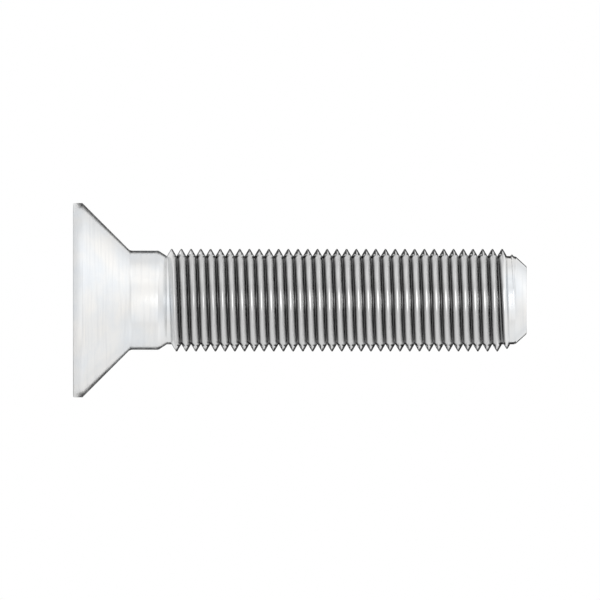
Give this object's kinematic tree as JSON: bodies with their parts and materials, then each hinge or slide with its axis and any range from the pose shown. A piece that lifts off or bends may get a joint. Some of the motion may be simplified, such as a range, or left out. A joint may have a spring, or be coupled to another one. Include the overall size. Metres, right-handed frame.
{
  "type": "countersunk head screw",
  "caption": "Flat countersunk head machine screw with a cross recess, a short plain neck, a fine right-hand thread and a chamfered end.",
  "frame": {"origin": "centre of the flat head face, which is the lowest face: the screw stands on its head", "axes": "+Z along the thread's axis, from the head face to the chamfered end; +X and +Y along two wings of the cross recess"},
  "size_m": [0.015, 0.015, 0.035],
  "materials": {
    "zinc_plated_steel": "bright zinc plate over cold-formed and rolled steel, pale silver, satin"
  },
  "bodies": {
    "root": {"countersunk_screw": "zinc_plated_steel"}
  },
  "joints": []
}
